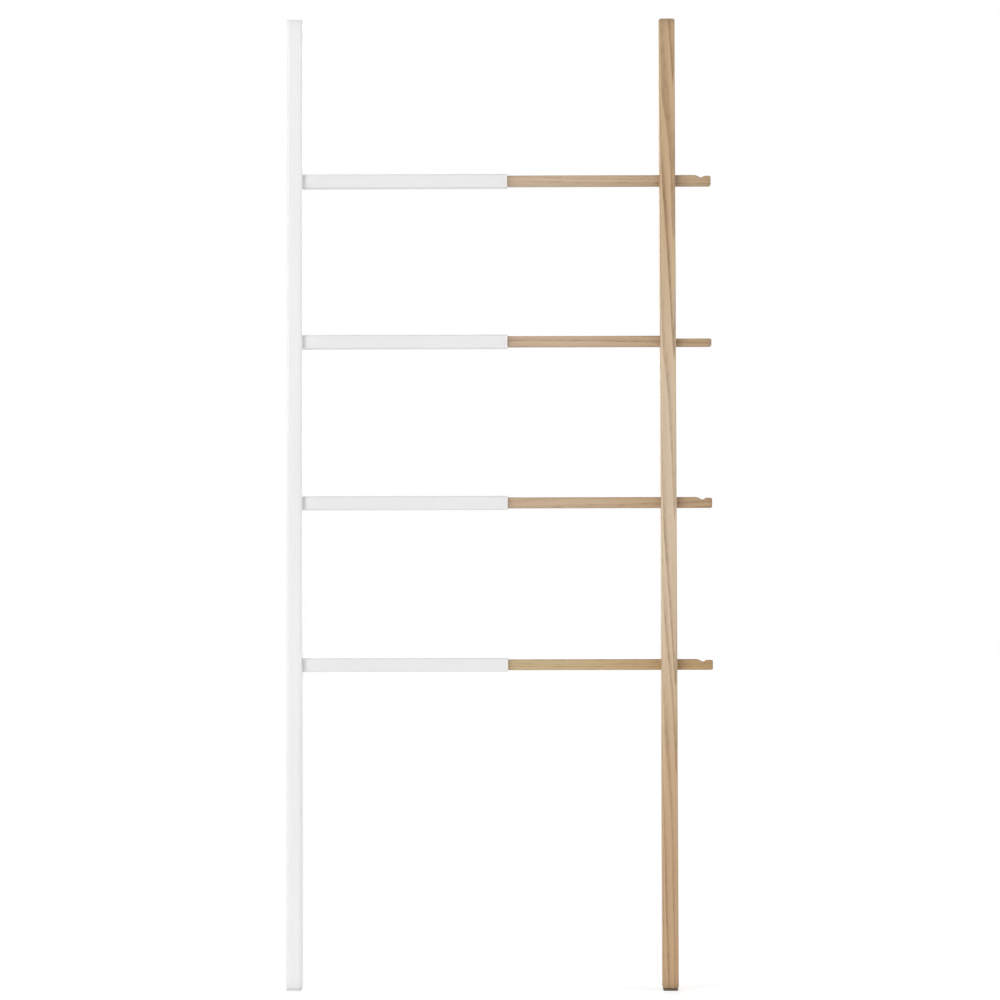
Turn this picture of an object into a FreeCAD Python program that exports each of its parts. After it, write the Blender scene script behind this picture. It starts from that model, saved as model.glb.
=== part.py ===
"""Leaning towel ladder whose width telescopes.

Two wooden rails are joined by four rungs. The left half of a rung is a square steel sleeve, bolted to the
painted left rail. The right half is a square ash bar, which slides in the sleeve, is screwed into the ash
rail, and runs on through it as a peg.

Frame: millimetres, +Z up along the rails, +X from the painted rail to the ash rail, and +Y towards the wall
that the ladder leans on. The origin is on the floor, under the middle of the whole ladder. The ladder is
modelled pulled out to its full width. Rungs are counted from the top.
"""

import FreeCAD, Part
import math
import os

Vector = FreeCAD.Vector

# Whole ladder
HEIGHT = 1524.0
OPEN_WIDTH = 612.0
RUNG_COUNT = 4
TOP_RUNG_DROP = 255.0
RUNG_PITCH = 254.0

# Rails
RAIL_WIDTH = 25.0
RAIL_DEPTH = 38.0
RAIL_ROUND = 5.0
RAIL_END_ROUND = 2.0

# Ash bars and their pegs
BAR_SIDE = 17.0
BAR_EDGE_ROUND = 2.2
PEG_REACH = 56.0
PEG_TIP_ROUND = 2.6
SCOOP_FROM_TIP = 15.5
SCOOP_RADIUS = 5.0
SCOOP_DEPTH = 3.8
SCOOP_TIP_DROP = 1.2
SCOOP_TIP_LIP_ROUND = 2.8
SCOOP_RAIL_LIP_ROUND = 14.0
PLAIN_PEG_RUNG = 2
PLAIN_PEG_DROP = 4.5

# Steel sleeves
SLEEVE_REACH = 322.5
SLEEVE_SEAT = 6.0
SLEEVE_WALL = 1.0
SLEEVE_CORNER_ROUND = 3.0

# Collars in the sleeve mouths
COLLAR_WALL = 1.0
COLLAR_LENGTH = 42.5
COLLAR_LIP = 4.5
COLLAR_LIP_BEVEL = 0.6

# Glides on the inner ends of the bars
GLIDE_LENGTH = 47.0
GLIDE_END_WALL = 3.0
GLIDE_BAND_HEIGHT = 0.4
GLIDE_BAND_LENGTH = 7.0
GLIDE_CORNER_BEVEL = 1.6
TENON_STEP = 1.6
TENON_CORNER_BEVEL = 1.0

# Bolts through the left rail, and the threaded plugs that they pull on
BOLT_DIAMETER = 6.0
BOLT_BITE = 17.0
BOLT_HEAD_DIAMETER = 10.5
BOLT_HEAD_HEIGHT = 3.3
BOLT_HEAD_BEVEL = 1.4
BOLT_SINK = 5.0
BOLT_KEY = 4.0
BOLT_KEY_DEPTH = 2.0
NUT_LENGTH = 30.0
NUT_CORNER_BEVEL = 1.6

# Screws through the back of the right rail, and in the ends of the bars
BAR_SCREW_DIAMETER = 4.0
BAR_SCREW_HEAD_DIAMETER = 8.0
BAR_SCREW_BITE = 12.0
BAR_SCREW_KEY = 2.5
GLIDE_SCREW_DIAMETER = 3.5
GLIDE_SCREW_HEAD_DIAMETER = 7.0
GLIDE_SCREW_BITE = 15.0
GLIDE_SCREW_KEY = 2.0
SCREW_KEY_DEPTH = 1.5
SCREW_HEAD_RIM = 0.4

# Rubber pads
FOOT_PAD_THICKNESS = 4.0
FOOT_PAD_INSET = 1.0
WALL_PAD_THICKNESS = 2.5
WALL_PAD_LENGTH = 32.0
WALL_PAD_MARGIN = 0.5
WALL_PAD_CORNER_ROUND = 3.0

# Clearances on each side
BAR_PLAY = 0.25
GLIDE_PLAY = 0.25
STOP_GAP = 0.5
SEAT_FIT = 0.05
BOLT_PLAY = 0.3
BOLT_HEAD_PLAY = 0.75

# Places nearer than this are taken as the same when edges are picked
SAME_PLACE = 0.01

# Sections, worked out from the bar outwards
COLLAR_BORE = BAR_SIDE + 2 * BAR_PLAY
SLEEVE_BORE = COLLAR_BORE + 2 * (COLLAR_WALL + SEAT_FIT)
SLEEVE_SIDE = SLEEVE_BORE + 2 * SLEEVE_WALL
SLEEVE_BORE_ROUND = SLEEVE_CORNER_ROUND - SLEEVE_WALL
GLIDE_SIDE = SLEEVE_BORE - 2 * GLIDE_PLAY
TENON_SIDE = BAR_SIDE - 2 * TENON_STEP

# Places along X, from left to right
LEFT_OUTER = -(OPEN_WIDTH + PEG_REACH) / 2
LEFT_INNER = LEFT_OUTER + RAIL_WIDTH
SLEEVE_START = LEFT_INNER - SLEEVE_SEAT
NUT_END = SLEEVE_START + NUT_LENGTH
MOUTH = LEFT_INNER + SLEEVE_REACH
SLEEVE_END = MOUTH - COLLAR_LIP
COLLAR_START = SLEEVE_END - COLLAR_LENGTH
BAR_START = COLLAR_START - STOP_GAP
GLIDE_START = BAR_START - GLIDE_LENGTH
RIGHT_OUTER = LEFT_OUTER + OPEN_WIDTH
RIGHT_INNER = RIGHT_OUTER - RAIL_WIDTH
PEG_TIP = RIGHT_OUTER + PEG_REACH
TRAVEL = GLIDE_START - STOP_GAP - NUT_END

# Places along Y and Z
MIDDLE = -WALL_PAD_THICKNESS / 2
BACK = MIDDLE + RAIL_DEPTH / 2
RAIL_BOTTOM = FOOT_PAD_THICKNESS
RUNGS = range(1, RUNG_COUNT + 1)


def rung_height(rung):
    """Height of a rung's middle, with the rungs counted from the top."""
    return HEIGHT - TOP_RUNG_DROP - (rung - 1) * RUNG_PITCH


def arc(across, up, radius, start, end):
    """Arc in the XZ plane about (across, up), between two angles counted from +X towards +Z."""
    points = []
    for angle in (start, (start + end) / 2, end):
        turn = math.radians(angle)
        points.append(Vector(across + radius * math.cos(turn), 0, up + radius * math.sin(turn)))
    return Part.Arc(*points).toShape()


def corner(across, up):
    """Sharp corner of an outline in the XZ plane."""
    return Part.Vertex(across, 0, up)


def outline_face(steps):
    """Face inside arcs and corners taken in order, with straight lines between them."""
    edges = []
    for step, following in zip(steps, steps[1:] + steps[:1]):
        if step.ShapeType == "Edge":
            edges.append(step)
        line_start = step.Vertexes[-1].Point
        line_end = following.Vertexes[0].Point
        if not line_start.isEqual(line_end, SAME_PLACE / 1000):
            edges.append(Part.makeLine(line_start, line_end))
    return Part.Face(Part.Wire(edges))


def rounded_rectangle(width, height, radius):
    """Face about the origin in the XZ plane, with rounded corners."""
    x = width / 2 - radius
    z = height / 2 - radius
    return outline_face([
        arc(x, z, radius, 0, 90),
        arc(-x, z, radius, 90, 180),
        arc(-x, -z, radius, 180, 270),
        arc(x, -z, radius, 270, 360),
    ])


def bevelled_square(side, bevel):
    """Face about the origin in the XZ plane, with bevelled corners."""
    edge = side / 2
    flat = edge - bevel
    return outline_face([
        corner(edge, flat), corner(flat, edge), corner(-flat, edge), corner(-edge, flat),
        corner(-edge, -flat), corner(-flat, -edge), corner(flat, -edge), corner(edge, -flat),
    ])


def along_x(face, start, end, up):
    """Face about the origin in the XZ plane, turned across X and extruded at the rails' middle depth."""
    face.rotate(Vector(), Vector(0, 0, 1), 90)
    face.translate(Vector(start, MIDDLE, up))
    return face.extrude(Vector(end - start, 0, 0))


def rounded_rod(side, radius, start, end, up):
    """Square rod with rounded corners, along X."""
    return along_x(rounded_rectangle(side, side, radius), start, end, up)


def bevelled_rod(side, bevel, start, end, up):
    """Square rod with bevelled corners, along X."""
    return along_x(bevelled_square(side, bevel), start, end, up)


def turned(steps):
    """Solid of revolution about Z. The outline's X is the radius."""
    return outline_face(steps).revolve(Vector(), Vector(0, 0, 1), 360)


def set_at(shape, point, direction):
    """Shape that was made along +Z from the origin, moved to a point and turned to a direction."""
    shape.Placement = FreeCAD.Placement(point, FreeCAD.Rotation(Vector(0, 0, 1), direction))
    return shape


def key_socket(across_flats, depth):
    """Hexagonal socket for a key, from the origin up along +Z."""
    reach = across_flats / math.sqrt(3)
    corners = [Vector(reach, 0, 0)]
    for side in range(1, 7):
        turn = math.radians(60 * side)
        corners.append(Vector(reach * math.cos(turn), reach * math.sin(turn), 0))
    return Part.Face(Part.makePolygon(corners)).extrude(Vector(0, 0, depth))


def countersunk_body(diameter, head_diameter, length, growth=0.0):
    """Countersunk screw's outside, from its flat head at the origin to its point along +Z."""
    shank = diameter / 2 + growth
    head = head_diameter / 2 + growth
    return turned([
        corner(0, 0),
        corner(head, 0),
        corner(head, SCREW_HEAD_RIM),
        corner(shank, SCREW_HEAD_RIM + head - shank),
        corner(shank, length - shank + growth),
        corner(0, length + growth),
    ])


def countersunk_screw(diameter, head_diameter, length, key):
    """Countersunk screw with its key socket."""
    body = countersunk_body(diameter, head_diameter, length)
    return body.cut(key_socket(key, SCREW_KEY_DEPTH))


def plain_rail(outer_side):
    """Rail with its long edges rounded over and the edges of its ends eased, from this X towards +X."""
    place = Vector(outer_side, MIDDLE - RAIL_DEPTH / 2, RAIL_BOTTOM)
    block = Part.makeBox(RAIL_WIDTH, RAIL_DEPTH, HEIGHT - RAIL_BOTTOM, place)
    long_edges = [edge for edge in block.Edges if edge.BoundBox.ZLength > SAME_PLACE]
    rail = block.makeFillet(RAIL_ROUND, long_edges)
    end_edges = [edge for edge in rail.Edges if edge.BoundBox.ZLength < SAME_PLACE]
    return rail.makeFillet(RAIL_END_ROUND, end_edges)


def left_rail():
    """Painted rail with a shallow seat for each sleeve, and a sunk hole for each bolt."""
    rail = plain_rail(LEFT_OUTER)
    for rung in RUNGS:
        up = rung_height(rung)
        seat_side = SLEEVE_SIDE + 2 * SEAT_FIT
        seat = rounded_rod(seat_side, SLEEVE_CORNER_ROUND, SLEEVE_START, LEFT_INNER, up)
        outer_point = Vector(LEFT_OUTER, MIDDLE, up)
        inward = Vector(1, 0, 0)
        hole = Part.makeCylinder(BOLT_DIAMETER / 2 + BOLT_PLAY, RAIL_WIDTH, outer_point, inward)
        sink = Part.makeCylinder(BOLT_HEAD_DIAMETER / 2 + BOLT_HEAD_PLAY, BOLT_SINK, outer_point, inward)
        rail = rail.cut([seat, hole, sink])
    return rail


def right_rail():
    """Ash rail with a through mortise for each bar, and a countersunk hole behind it."""
    rail = plain_rail(RIGHT_INNER)
    for rung in RUNGS:
        mortise_side = BAR_SIDE + 2 * SEAT_FIT
        mortise = rounded_rod(mortise_side, BAR_EDGE_ROUND, RIGHT_INNER, RIGHT_OUTER, rung_height(rung))
        rail = rail.cut([mortise, bar_screw_hole(rung)])
    return rail


def sleeve(rung):
    """Square steel tube with rounded corners."""
    up = rung_height(rung)
    outside = rounded_rod(SLEEVE_SIDE, SLEEVE_CORNER_ROUND, SLEEVE_START, SLEEVE_END, up)
    bore = rounded_rod(SLEEVE_BORE, SLEEVE_BORE_ROUND, SLEEVE_START, SLEEVE_END, up)
    return outside.cut(bore)


def collar(rung):
    """Plastic collar pressed into a sleeve's mouth, with a lip as wide as the sleeve."""
    up = rung_height(rung)
    lip = rounded_rod(SLEEVE_SIDE, SLEEVE_CORNER_ROUND, SLEEVE_END, MOUTH, up)
    front_edges = [edge for edge in lip.Edges if edge.BoundBox.XMin > MOUTH - SAME_PLACE]
    lip = lip.makeChamfer(COLLAR_LIP_BEVEL, front_edges)
    spigot_side = SLEEVE_BORE - 2 * SEAT_FIT
    spigot = rounded_rod(spigot_side, SLEEVE_BORE_ROUND, COLLAR_START, SLEEVE_END, up)
    bore = rounded_rod(COLLAR_BORE, BAR_EDGE_ROUND, COLLAR_START, MOUTH, up)
    return lip.fuse(spigot).removeSplitter().cut(bore)


def sleeve_nut(rung):
    """Threaded plug in a sleeve's left end. The thread is a plain bore."""
    up = rung_height(rung)
    plug = bevelled_rod(SLEEVE_BORE - 2 * SEAT_FIT, NUT_CORNER_BEVEL, SLEEVE_START, NUT_END, up)
    bore_radius = BOLT_DIAMETER / 2 + SEAT_FIT
    bore = Part.makeCylinder(bore_radius, NUT_LENGTH, Vector(SLEEVE_START, MIDDLE, up), Vector(1, 0, 0))
    return plug.cut(bore)


def sleeve_bolt(rung):
    """Bolt with a bevelled flat head and a key socket, from the left rail's outer side into the plug."""
    radius = BOLT_DIAMETER / 2
    head = BOLT_HEAD_DIAMETER / 2
    length = RAIL_WIDTH - BOLT_SINK - SLEEVE_SEAT + BOLT_BITE
    body = turned([
        corner(0, 0),
        corner(head - BOLT_HEAD_BEVEL, 0),
        corner(head, BOLT_HEAD_BEVEL),
        corner(head, BOLT_HEAD_HEIGHT),
        corner(radius, BOLT_HEAD_HEIGHT),
        corner(radius, BOLT_HEAD_HEIGHT + length),
        corner(0, BOLT_HEAD_HEIGHT + length),
    ])
    bolt = body.cut(key_socket(BOLT_KEY, BOLT_KEY_DEPTH))
    head_top = LEFT_OUTER + BOLT_SINK - BOLT_HEAD_HEIGHT
    return set_at(bolt, Vector(head_top, MIDDLE, rung_height(rung)), Vector(1, 0, 0))


def scoop_lip(radius, depth):
    """Run and slope of the lip arc that joins the scoop's arc to a flat at this depth above its floor.

    The two arcs touch, so their middles are the sum of their radii apart. The run is how far the lip's
    middle lies from the scoop's along the bar, and the slope is the angle of the line between them.
    """
    rise = SCOOP_RADIUS - depth + radius
    run = math.sqrt((SCOOP_RADIUS + radius) ** 2 - rise ** 2)
    return run, math.degrees(math.atan2(rise, run))


def scooped_peg_steps():
    """Outline of a peg's end, from the tip's lower corner round to the lip on the rail's side.

    The scoop is an arc about a point above the bar, with a steep lip at the tip and a gentle one opposite.
    """
    top = BAR_SIDE / 2
    tip_top = top - SCOOP_TIP_DROP
    middle = PEG_TIP - SCOOP_FROM_TIP
    tip_run, tip_slope = scoop_lip(SCOOP_TIP_LIP_ROUND, SCOOP_DEPTH - SCOOP_TIP_DROP)
    rail_run, rail_slope = scoop_lip(SCOOP_RAIL_LIP_ROUND, SCOOP_DEPTH)
    return tip_steps(tip_top) + [
        arc(middle + tip_run, tip_top - SCOOP_TIP_LIP_ROUND, SCOOP_TIP_LIP_ROUND, 90, 180 - tip_slope),
        arc(middle, top - SCOOP_DEPTH + SCOOP_RADIUS, SCOOP_RADIUS, -tip_slope, rail_slope - 180),
        arc(middle - rail_run, top - SCOOP_RAIL_LIP_ROUND, SCOOP_RAIL_LIP_ROUND, rail_slope, 90),
    ]


def tip_steps(top):
    """Outline of a peg's rounded tip, from its lower to its upper corner."""
    across = PEG_TIP - PEG_TIP_ROUND
    return [
        arc(across, PEG_TIP_ROUND - BAR_SIDE / 2, PEG_TIP_ROUND, 270, 360),
        arc(across, top - PEG_TIP_ROUND, PEG_TIP_ROUND, 0, 90),
    ]


def bar_length(start, top, end_steps, up):
    """Bar from a flat end at start to the end that the steps give, with its edges rounded.

    The edges round the two side faces are rounded, apart from the short upright ones at flat ends.
    """
    face = outline_face([corner(start, top), corner(start, -BAR_SIDE / 2)] + end_steps)
    face.translate(Vector(0, MIDDLE - BAR_SIDE / 2, up))
    stick = face.extrude(Vector(0, BAR_SIDE, 0))
    rounded_edges = []
    for edge in stick.Edges:
        box = edge.BoundBox
        in_side_face = box.YLength < SAME_PLACE
        at_flat_end = any(abs(box.Center.x - x) + box.XLength < SAME_PLACE for x in (start, RIGHT_OUTER))
        if in_side_face and not at_flat_end:
            rounded_edges.append(edge)
    return stick.makeFillet(BAR_EDGE_ROUND, rounded_edges)


def bar(rung):
    """Ash bar: a tenon for the glide, the sliding length, and the peg past the rail."""
    up = rung_height(rung)
    half = BAR_SIDE / 2
    if rung == PLAIN_PEG_RUNG:
        square_end = [corner(RIGHT_OUTER, -half), corner(RIGHT_OUTER, half)]
        top = half - PLAIN_PEG_DROP
        peg = bar_length(RIGHT_OUTER, top, tip_steps(top), up)
        stick = bar_length(BAR_START, half, square_end, up).fuse(peg)
    else:
        stick = bar_length(BAR_START, half, scooped_peg_steps(), up)
    tenon_start = GLIDE_START + GLIDE_END_WALL
    tenon = bevelled_rod(TENON_SIDE, TENON_CORNER_BEVEL, tenon_start, BAR_START, up)
    holes = [bar_screw_hole(rung), glide_screw_hole(rung)]
    return stick.fuse(tenon).removeSplitter().cut(holes)


def glide(rung):
    """Plastic cup on a bar's tenon, with a raised band at each end that runs in the sleeve."""
    up = rung_height(rung)
    body_side = GLIDE_SIDE - 2 * GLIDE_BAND_HEIGHT
    body = bevelled_rod(body_side, GLIDE_CORNER_BEVEL, GLIDE_START, BAR_START, up)
    bands = []
    for start in (GLIDE_START, BAR_START - GLIDE_BAND_LENGTH):
        bands.append(bevelled_rod(GLIDE_SIDE, GLIDE_CORNER_BEVEL, start, start + GLIDE_BAND_LENGTH, up))
    cup_side = TENON_SIDE + 2 * SEAT_FIT
    cup = bevelled_rod(cup_side, TENON_CORNER_BEVEL, GLIDE_START + GLIDE_END_WALL, BAR_START, up)
    return body.fuse(bands).removeSplitter().cut([cup, glide_screw_hole(rung)])


def bar_screw_length():
    """Length of a screw from the right rail's back, through its wall, into a bar."""
    return (RAIL_DEPTH - BAR_SIDE) / 2 + BAR_SCREW_BITE


def at_bar_screw(shape, rung):
    """Shape set at a bar screw's place, pointing forwards."""
    middle = (RIGHT_INNER + RIGHT_OUTER) / 2
    return set_at(shape, Vector(middle, BACK, rung_height(rung)), Vector(0, -1, 0))


def bar_screw(rung):
    """Screw that holds a bar in the right rail."""
    sizes = (BAR_SCREW_DIAMETER, BAR_SCREW_HEAD_DIAMETER, bar_screw_length())
    return at_bar_screw(countersunk_screw(*sizes, BAR_SCREW_KEY), rung)


def bar_screw_hole(rung):
    """Hole that a bar screw fills."""
    sizes = (BAR_SCREW_DIAMETER, BAR_SCREW_HEAD_DIAMETER, bar_screw_length())
    return at_bar_screw(countersunk_body(*sizes, growth=SEAT_FIT), rung)


def at_glide_screw(shape, rung):
    """Shape set at a glide screw's place, pointing along the bar."""
    return set_at(shape, Vector(GLIDE_START, MIDDLE, rung_height(rung)), Vector(1, 0, 0))


def glide_screw(rung):
    """Screw that holds a glide on a bar."""
    sizes = (GLIDE_SCREW_DIAMETER, GLIDE_SCREW_HEAD_DIAMETER, GLIDE_END_WALL + GLIDE_SCREW_BITE)
    return at_glide_screw(countersunk_screw(*sizes, GLIDE_SCREW_KEY), rung)


def glide_screw_hole(rung):
    """Hole that a glide screw fills."""
    sizes = (GLIDE_SCREW_DIAMETER, GLIDE_SCREW_HEAD_DIAMETER, GLIDE_END_WALL + GLIDE_SCREW_BITE)
    return at_glide_screw(countersunk_body(*sizes, growth=SEAT_FIT), rung)


def pad(width, length, corner_round, thickness, seat, direction):
    """Rubber pad cut from sheet, from its seat outwards."""
    face = rounded_rectangle(width, length, corner_round)
    face.rotate(Vector(), Vector(1, 0, 0), 90)
    return set_at(face.extrude(Vector(0, 0, thickness)), seat, direction)


def foot_pad(outer_side):
    """Pad under a rail, nearly as large as its end, with corners that follow the rail's own."""
    width = RAIL_WIDTH - 2 * FOOT_PAD_INSET
    length = RAIL_DEPTH - 2 * FOOT_PAD_INSET
    corner_round = RAIL_ROUND - FOOT_PAD_INSET
    seat = Vector(outer_side + RAIL_WIDTH / 2, MIDDLE, RAIL_BOTTOM)
    return pad(width, length, corner_round, FOOT_PAD_THICKNESS, seat, Vector(0, 0, -1))


def wall_pad(outer_side):
    """Pad on the flat of a rail's back, as near the top as the rail's easing lets it be."""
    width = RAIL_WIDTH - 2 * (RAIL_ROUND + WALL_PAD_MARGIN)
    up = HEIGHT - RAIL_END_ROUND - WALL_PAD_MARGIN - WALL_PAD_LENGTH / 2
    seat = Vector(outer_side + RAIL_WIDTH / 2, BACK, up)
    corner_round = WALL_PAD_CORNER_ROUND
    return pad(width, WALL_PAD_LENGTH, corner_round, WALL_PAD_THICKNESS, seat, Vector(0, 1, 0))


def ladder():
    """All nodes by name."""
    nodes = {
        "left_rail": left_rail(),
        "right_rail": right_rail(),
        "left_foot_pad": foot_pad(LEFT_OUTER),
        "right_foot_pad": foot_pad(RIGHT_INNER),
        "left_wall_pad": wall_pad(LEFT_OUTER),
        "right_wall_pad": wall_pad(RIGHT_INNER),
    }
    repeated = {
        "rung_sleeve": sleeve,
        "sleeve_collar": collar,
        "sleeve_nut": sleeve_nut,
        "rung_bar": bar,
        "bar_glide": glide,
    }
    for name, make in repeated.items():
        for rung in RUNGS:
            nodes[f"{name}_{rung}"] = make(rung)
    fastener_groups = {
        "sleeve_bolts": sleeve_bolt,
        "bar_screws": bar_screw,
        "glide_screws": glide_screw,
    }
    for name, make in fastener_groups.items():
        nodes[name] = Part.makeCompound([make(rung) for rung in RUNGS])
    return nodes


os.makedirs("parts", exist_ok=True)
for node, shape in ladder().items():
    shape.exportStep(f"parts/{node}.step")
    print(node, len(shape.Solids), "valid" if shape.isValid() else "INVALID", round(shape.Volume, 1))
print("travel", round(TRAVEL, 3), "sleeve side", round(SLEEVE_SIDE, 3))
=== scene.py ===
"""Looks of the telescoping towel ladder: fine surfaces, finishes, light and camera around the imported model.

Metres, +Z up along the rails, +X from the painted rail to the ash rail, +Y towards the wall that the ladder
leans on. Rungs are counted from the top. Every surface is a grid of points worked out from the frame's own
places, and the grids of one piece are welded where they meet.
"""

import math

import bpy
import numpy as np
from mathutils import Euler, Matrix, Vector


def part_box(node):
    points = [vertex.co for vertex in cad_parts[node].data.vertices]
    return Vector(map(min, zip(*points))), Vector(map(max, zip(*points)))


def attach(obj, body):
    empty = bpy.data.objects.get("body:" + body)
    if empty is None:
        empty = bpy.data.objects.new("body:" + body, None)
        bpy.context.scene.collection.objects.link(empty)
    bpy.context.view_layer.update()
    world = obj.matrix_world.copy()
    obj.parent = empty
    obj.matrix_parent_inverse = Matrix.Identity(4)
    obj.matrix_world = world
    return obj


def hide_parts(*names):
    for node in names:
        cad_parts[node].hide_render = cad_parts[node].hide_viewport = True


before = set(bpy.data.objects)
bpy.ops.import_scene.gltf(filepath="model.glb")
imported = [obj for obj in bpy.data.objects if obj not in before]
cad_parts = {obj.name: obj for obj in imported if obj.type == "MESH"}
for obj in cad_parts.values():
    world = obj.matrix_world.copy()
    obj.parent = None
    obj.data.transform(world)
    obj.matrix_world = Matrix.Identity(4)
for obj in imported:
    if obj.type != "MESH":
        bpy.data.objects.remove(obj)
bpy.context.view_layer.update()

MM = 0.001
QUARTER_TURN = math.pi / 2
RUNGS = (1, 2, 3, 4)
LEFTWARDS = np.array([-1.0, 0.0, 0.0])
RIGHTWARDS = np.array([1.0, 0.0, 0.0])
BACKWARDS = np.array([0.0, 1.0, 0.0])
UPWARDS = np.array([0.0, 0.0, 1.0])
DOWNWARDS = np.array([0.0, 0.0, -1.0])

# Points in the same cube of this size become one. The offset keeps round sizes off the cubes' walls
WELD = 2e-6
WELD_OFFSET = 0.137

# A length that divides is at least this
LEAST_LENGTH = 1e-12

# Rails, with the cells of their grids
RAIL_ROUND = 5.0 * MM
RAIL_END_ROUND = 2.0 * MM
RAIL_BEND_CELLS = 8
RAIL_END_ROWS = RAIL_BEND_CELLS + 1
RAIL_OPENING_CELLS = 24
RAIL_PLAIN_ROWS = 14
OPENING_RINGS = 5
RIM_EASE = 0.4 * MM
RIM_CELLS = 4

# Seats and sunk holes in the painted rail
SLEEVE_SEAT = 6.0 * MM
SEAT_FIT = 0.05 * MM
BOLT_SINK = 5.0 * MM
BOLT_SINK_RADIUS = 6.0 * MM
BOLT_HOLE_RADIUS = 3.3 * MM

# Screw holes behind the ash rail
SCREW_HEAD_RADIUS = 4.0 * MM
SCREW_SHANK_RADIUS = 2.0 * MM
SCREW_HOLE_DEPTH = 9.5 * MM

# Ash bars. The cells of an outline are those across, up and round each corner
BAR_HALF = 8.5 * MM
BAR_ROUND = 2.2 * MM
TENON_HALF = 6.9 * MM
TENON_ROUND = 1.75 * MM
PEG_TIP_ROUND = 2.6 * MM
SCOOP_FROM_TIP = 15.5 * MM
SCOOP_RADIUS = 5.0 * MM
SCOOP_DEPTH = 3.8 * MM
SCOOP_TIP_DROP = 1.2 * MM
SCOOP_TIP_LIP_ROUND = 2.8 * MM
SCOOP_RAIL_LIP_ROUND = 14.0 * MM
PLAIN_PEG_RUNG = 2
PLAIN_PEG_DROP = 4.5 * MM
PLAIN_PEG_STEP = 4 * WELD
BAR_CELLS = (6, 6, 6)
BAR_ROWS = 20
PEG_ROWS = 6
SCOOP_ROWS = 72
PEG_TIP_CELLS = 12

# Sleeves and collars
SLEEVE_WALL = 1.0 * MM
SLEEVE_ROUND = 3.0 * MM
SLEEVE_EDGE_EASE = 0.25 * MM
COLLAR_BORE_HALF = 8.75 * MM
COLLAR_LIP_ROUND = 0.9 * MM
COLLAR_LEAD_IN = 0.5 * MM
TUBE_CELLS = (8, 8, 8)
TUBE_ROWS = 12
SLEEVE_EDGE_CELLS = 3
COLLAR_LIP_CELLS = 5
COLLAR_LEAD_IN_CELLS = 4

# Fasteners and pads
FASTENER_SIDES = 48
KEY_SIDE_ANGLE = math.pi / 3
KEY_BEVEL = 0.15 * MM
BOLT_RADIUS = 3.0 * MM
BOLT_TIP_BEVEL = 0.4 * MM
BOLT_HEAD_RADIUS = 5.25 * MM
BOLT_HEAD_HEIGHT = 3.3 * MM
BOLT_RIM_HEIGHT = 1.0 * MM
BOLT_KEY_HALF = 2.0 * MM
BOLT_KEY_DEPTH = 2.0 * MM
BOLT_KEY_MARGIN = 0.9 * MM
BOLT_DOME_CELLS = 8
SCREW_KEY_HALF = 1.25 * MM
SCREW_KEY_DEPTH = 1.5 * MM
SCREW_HEAD_RIM = 0.4 * MM
SCREW_HEAD_EASE = 0.2 * MM
FOOT_PAD_ROUND = 4.0 * MM
FOOT_PAD_EDGE = 1.2 * MM
WALL_PAD_ROUND = 3.0 * MM
WALL_PAD_EDGE = 0.7 * MM
PAD_CELLS = (6, 10, 6)
PAD_EDGE_CELLS = 5


def box_of(node):
    """Lowest and highest corner of a node, as arrays."""
    low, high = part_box(node)
    return np.array(low), np.array(high)


def middle_of(node):
    """Middle of a node's box."""
    return np.mean(box_of(node), axis=0)


def rung_height(rung):
    """Height of a rung's middle."""
    return middle_of(f"rung_sleeve_{rung}")[2]


# Surfaces

def rounded_template(across_cells, up_cells, bend_cells):
    """Rounded rectangle of any size, counter-clockwise from its lower right corner.

    A point is core * (half size - radius) + bend * radius. Along a side the core runs from corner to corner
    and the bend faces outwards. Round a corner the core stays and the bend turns through a quarter circle.
    """
    cores = []
    bends = []
    for quarter in range(4):
        turn = quarter * QUARTER_TURN
        facing = np.array([math.cos(turn), math.sin(turn)])
        ahead = np.array([-math.sin(turn), math.cos(turn)])
        side_cells = across_cells if quarter % 2 else up_cells
        run = np.linspace(-1, 1, side_cells, endpoint=False)[:, None]
        angles = turn + np.linspace(0, QUARTER_TURN, bend_cells, endpoint=False)
        cores += [facing + run * ahead, np.tile(facing + ahead, (bend_cells, 1))]
        bends += [np.tile(facing, (side_cells, 1)), np.stack([np.cos(angles), np.sin(angles)], axis=1)]
    return np.concatenate(cores), np.concatenate(bends)


def rounded_rings(template, half_across, half_up, radius):
    """One rounded rectangle for each row of the size arrays: rows, points, then across and up."""
    cores, bends = template
    halves = np.stack(np.broadcast_arrays(half_across, half_up), axis=-1)[:, None]
    rounds = np.broadcast_to(radius, halves.shape[:1])[:, None, None]
    return cores * (halves - rounds) + bends * rounds


def eased(count):
    """Quarter circle in this many cells: each point's share of the radius along, and its share inwards."""
    angles = np.linspace(0, QUARTER_TURN, count + 1)
    return np.sin(angles), 1 - np.cos(angles)


def cells(points, closed=True, kept=True):
    """Points of a grid and the quads between them. A closed grid's last column joins its first."""
    rows, columns = points.shape[:2]
    index = np.arange(rows * columns).reshape(rows, columns)
    following = np.roll(index, -1, axis=1)
    quads = np.stack([index[:-1], following[:-1], following[1:], index[1:]], axis=-1)
    if not closed:
        quads = quads[:, :-1]
    return points.reshape(-1, 3), quads[np.broadcast_to(kept, quads.shape[:2])]


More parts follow.
